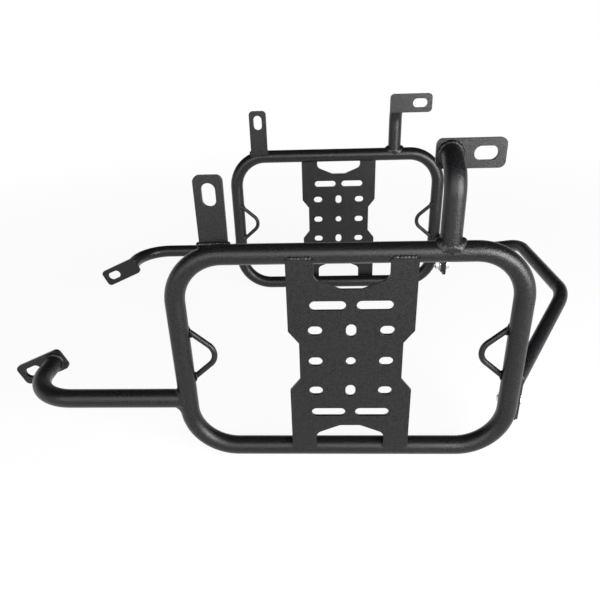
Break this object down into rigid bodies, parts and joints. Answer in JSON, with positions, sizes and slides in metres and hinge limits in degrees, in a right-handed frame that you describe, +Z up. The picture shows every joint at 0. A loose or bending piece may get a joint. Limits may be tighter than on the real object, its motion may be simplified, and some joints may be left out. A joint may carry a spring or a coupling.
{
  "type": "pannier frame",
  "caption": "Motorcycle pannier frame: mirrored side hoops of bent tube with slotted carrier plates, mounting flanges and lashing rings, joined by a bent rear brace.",
  "frame": {"origin": "middle of the footprint on the floor plane, at the lowest point of the hoops", "axes": "+X to the rear of the motorcycle, +Y to its right-hand side, +Z up; the hoops stand upright in planes along X and Z"},
  "size_m": [0.6703, 0.464, 0.3315],
  "materials": {
    "black_coat": "satin black powder coat with a fine grain",
    "bright_zinc": "bright zinc plate"
  },
  "bodies": {
    "root": {"left_hoop": "black_coat", "left_carrier_plate": "black_coat", "left_front_tab": "black_coat", "left_rear_strut": "black_coat", "left_rear_strut_flange": "black_coat", "left_front_arm": "black_coat", "left_front_arm_flange": "black_coat", "left_front_lashing_ring": "black_coat", "left_rear_lashing_ring": "black_coat", "left_brace_lug": "black_coat", "left_brace_flange": "black_coat", "left_brace_bolt": "bright_zinc", "left_brace_nut": "bright_zinc", "left_brace_washers": "bright_zinc", "right_hoop": "black_coat", "right_carrier_plate": "black_coat", "right_front_tab": "black_coat", "right_rear_strut": "black_coat", "right_rear_strut_flange": "black_coat", "right_front_arm": "black_coat", "right_front_arm_flange": "black_coat", "right_front_lashing_ring": "black_coat", "right_rear_lashing_ring": "black_coat", "right_brace_lug": "black_coat", "right_brace_flange": "black_coat", "right_brace_bolt": "bright_zinc", "right_brace_nut": "bright_zinc", "right_brace_washers": "bright_zinc", "rear_brace_tube": "black_coat"}
  },
  "joints": []
}
